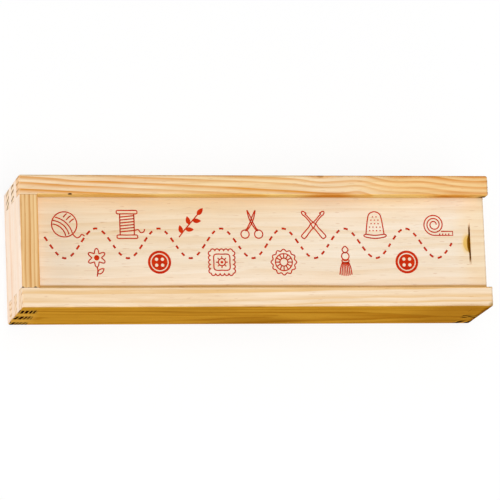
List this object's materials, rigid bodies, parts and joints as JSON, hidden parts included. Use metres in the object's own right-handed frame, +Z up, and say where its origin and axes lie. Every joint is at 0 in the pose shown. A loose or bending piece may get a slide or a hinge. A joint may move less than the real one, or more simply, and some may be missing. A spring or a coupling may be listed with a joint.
{
  "type": "crochet hook box",
  "caption": "Long narrow pine box with finger-jointed corners and a sliding lid, for keeping crochet hooks.",
  "frame": {"origin": "middle of the underside, on the surface that the box stands on", "axes": "+X along the box towards the end where the lid slides out, +Y to the rear, +Z up"},
  "size_m": [0.2, 0.056, 0.042],
  "materials": {
    "pine_sides": "fine-sanded raw pine",
    "pine_ends": "fine-sanded raw pine",
    "pine_lid": "fine-sanded raw pine",
    "plywood": "sanded birch plywood",
    "pin_steel": "bright drawn wire",
    "lid_print": "flat screen-printed ink"
  },
  "bodies": {
    "box": {"front_side_board": "pine_sides", "rear_side_board": "pine_sides", "left_end_board": "pine_ends", "right_end_board": "pine_ends", "bottom_panel": "plywood", "bottom_pins": "pin_steel"},
    "lid": {"sliding_lid": "pine_lid"}
  },
  "joints": [
    {"name": "lid_slide", "type": "slide", "parent": "box", "child": "lid", "axis": [1, 0, 0], "range_m": [0, 0.195]}
  ]
}
